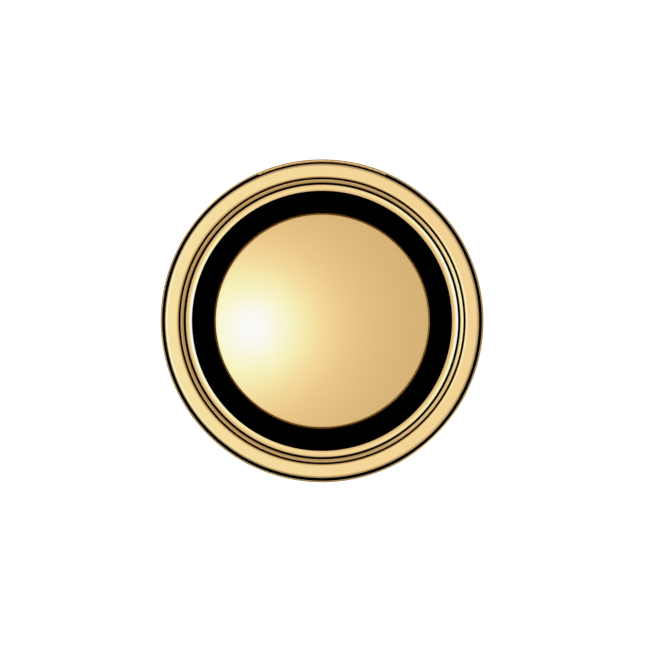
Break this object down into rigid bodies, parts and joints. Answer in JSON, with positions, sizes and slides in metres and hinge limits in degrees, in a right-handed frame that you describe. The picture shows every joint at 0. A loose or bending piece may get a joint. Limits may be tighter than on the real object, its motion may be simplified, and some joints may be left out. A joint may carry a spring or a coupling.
{
  "type": "coin capsule",
  "caption": "Round gold-coloured screw capsule with clear windows and a black foam ring that holds a plain crowned coin blank.",
  "frame": {"origin": "centre of the capsule's outline on its bottom plane, where the base rests", "axes": "+Z along the capsule's axis, from the base's back to the lid's face; +X and +Y are free, as the capsule is round"},
  "size_m": [0.049, 0.049, 0.0114],
  "materials": {
    "gold_shell": "satin",
    "gold_trim": "polished",
    "coin_gold": "satin",
    "black_rubber": "matte",
    "black_foam": "matte",
    "clear_window": "gloss",
    "spring_steel": "satin"
  },
  "bodies": {
    "base": {"base_shell": "gold_shell", "rear_window_gasket": "black_rubber", "rear_window": "clear_window", "rear_retaining_ring": "gold_trim", "body_seal_ring": "black_rubber"},
    "insert": {"insert_ring": "black_foam"},
    "coin": {"coin_blank": "coin_gold"},
    "cartridge": {"cartridge_ring": "gold_trim", "front_window_gasket": "black_rubber", "front_window": "clear_window", "front_retaining_ring": "gold_trim", "slip_gasket": "black_rubber"},
    "lid": {"lid_ring": "gold_shell", "snap_ring": "spring_steel"}
  },
  "joints": [
    {"name": "lid_lift", "type": "slide", "parent": "base", "child": "cartridge", "axis": [0, 0, 1], "range_m": [0, 0.0141]},
    {"name": "lid_turn", "type": "hinge", "parent": "cartridge", "child": "lid", "pos_m": [0, 0, 0.0075], "axis": [0, 0, 1], "range_deg": [0, 360]},
    {"name": "insert_lift", "type": "slide", "parent": "base", "child": "insert", "axis": [0, 0, 1], "range_m": [0, 0.00505]},
    {"name": "coin_lift", "type": "slide", "parent": "insert", "child": "coin", "axis": [0, 0, 1], "range_m": [0, 0.00455]}
  ],
  "couplings": [
    {"joint": "lid_lift", "follows": "lid_turn", "m_per_rad": 0.0022282},
    {"joint": "insert_lift", "follows": "lid_turn", "m_per_rad": 0.00079577},
    {"joint": "coin_lift", "follows": "lid_turn", "m_per_rad": 0.0007162}
  ]
}
